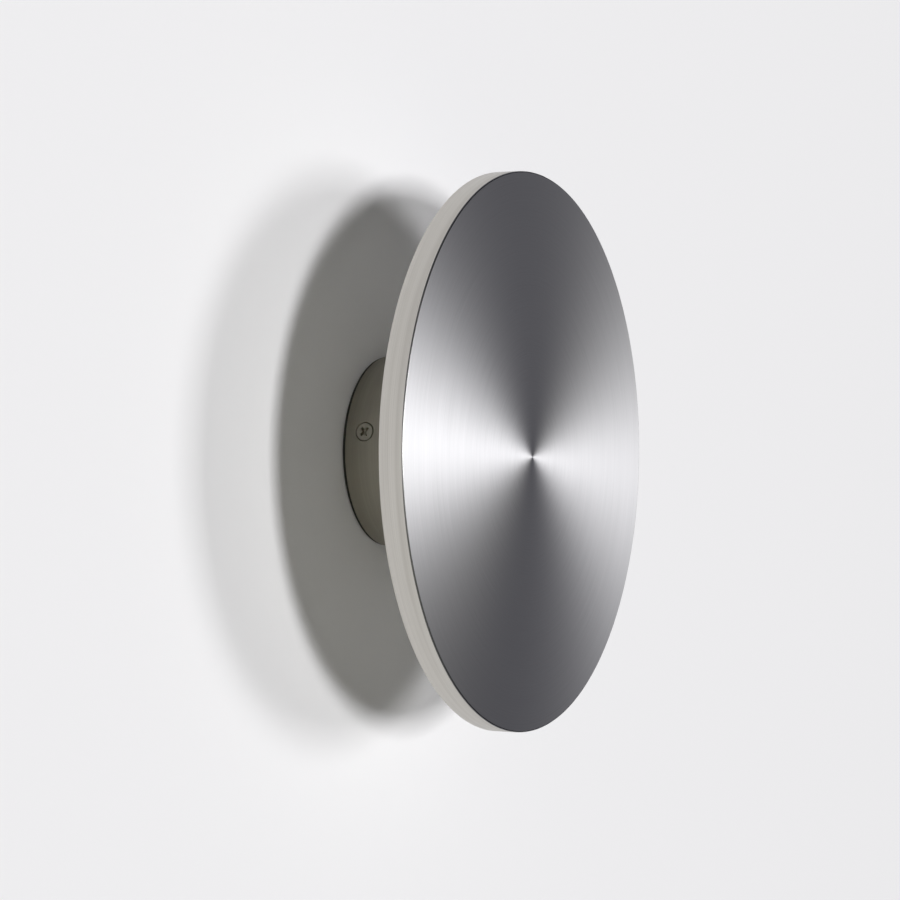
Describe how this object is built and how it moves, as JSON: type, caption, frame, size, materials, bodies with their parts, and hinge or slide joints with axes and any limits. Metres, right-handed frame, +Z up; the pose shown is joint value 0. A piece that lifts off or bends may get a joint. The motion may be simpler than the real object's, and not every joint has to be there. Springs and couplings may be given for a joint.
{
  "type": "wall light",
  "caption": "Round disc wall light: a turned steel disc on a short round hub, lighting the wall behind it.",
  "frame": {"origin": "centre of the wall plate's back face and of its two wall holes, on the wall", "axes": "+Z up, +Y into the wall; the disc faces -Y, and its axis is the Y axis"},
  "size_m": [0.25, 0.073, 0.25],
  "materials": {
    "turned_steel": "turned and brushed in circles, clear satin",
    "satin_steel": "satin, brushed round the hub",
    "zinc_plate": "bright zinc plating",
    "screw_steel": "satin stainless",
    "spring_steel": "oiled spring wire",
    "gasket_rubber": "matt black foam rubber",
    "grommet_rubber": "matt black",
    "thermal_silicone": "matt grey silicone",
    "opal_acrylic": "satin opal white",
    "board_white": "white solder mask on aluminium",
    "chip_phosphor": "yellow silicone in a white frame",
    "spacer_nylon": "moulded white nylon",
    "connector_nylon": "moulded white nylon",
    "terminal_nylon": "moulded ivory nylon",
    "driver_case": "fine-textured white polycarbonate",
    "board_green": "green solder mask",
    "transformer_black": "black bobbin",
    "capacitor_can": "sleeved can",
    "tinned_brass": "tinned",
    "lead_brown": "brown sleeve",
    "lead_blue": "blue sleeve",
    "lead_green_yellow": "green sleeve with a yellow stripe",
    "lead_red": "red sleeve",
    "lead_black": "black sleeve"
  },
  "bodies": {
    "wall_bracket": {"wall_plate": "zinc_plate", "entry_grommet": "grommet_rubber", "plate_earth_screw": "tinned_brass"},
    "lamp_head": {"front_disc": "turned_steel", "weld_studs": "zinc_plate", "hub_shell": "satin_steel", "hub_gasket": "gasket_rubber", "hub_washers": "zinc_plate", "hub_nuts": "zinc_plate", "clamp_block_left": "zinc_plate", "clamp_block_right": "zinc_plate", "thermal_pad": "thermal_silicone", "led_board": "board_white", "led_chips_outer": "chip_phosphor", "led_chips_inner": "chip_phosphor", "led_connector": "connector_nylon", "inner_spacer": "spacer_nylon", "outer_spacer": "spacer_nylon", "diffuser": "opal_acrylic", "diffuser_screws": "screw_steel", "snap_ring": "spring_steel", "driver_case": "driver_case", "driver_lid": "driver_case", "driver_board": "board_green", "driver_transformer": "transformer_black", "driver_capacitor": "capacitor_can", "driver_screws": "zinc_plate", "terminal_block": "terminal_nylon", "terminal_screws": "zinc_plate", "cable_clamp": "terminal_nylon", "cable_clamp_screws": "zinc_plate", "earth_tag": "tinned_brass", "earth_screw": "tinned_brass", "lead_plug": "grommet_rubber", "live_lead": "lead_brown", "neutral_lead": "lead_blue", "earth_lead": "lead_green_yellow", "led_lead_plus": "lead_red", "led_lead_minus": "lead_black"},
    "left_screw": {"side_screw_left": "screw_steel"},
    "right_screw": {"side_screw_right": "screw_steel"}
  },
  "joints": [
    {"name": "head_slide", "type": "slide", "parent": "wall_bracket", "child": "lamp_head", "axis": [0, -1, 0], "range_m": [0, 0.022]},
    {"name": "left_screw_slide", "type": "slide", "parent": "lamp_head", "child": "left_screw", "axis": [-0.9781, 0, 0.2079], "range_m": [0, 0.0035]},
    {"name": "right_screw_slide", "type": "slide", "parent": "lamp_head", "child": "right_screw", "axis": [0.9781, 0, -0.2079], "range_m": [0, 0.0035]}
  ]
}
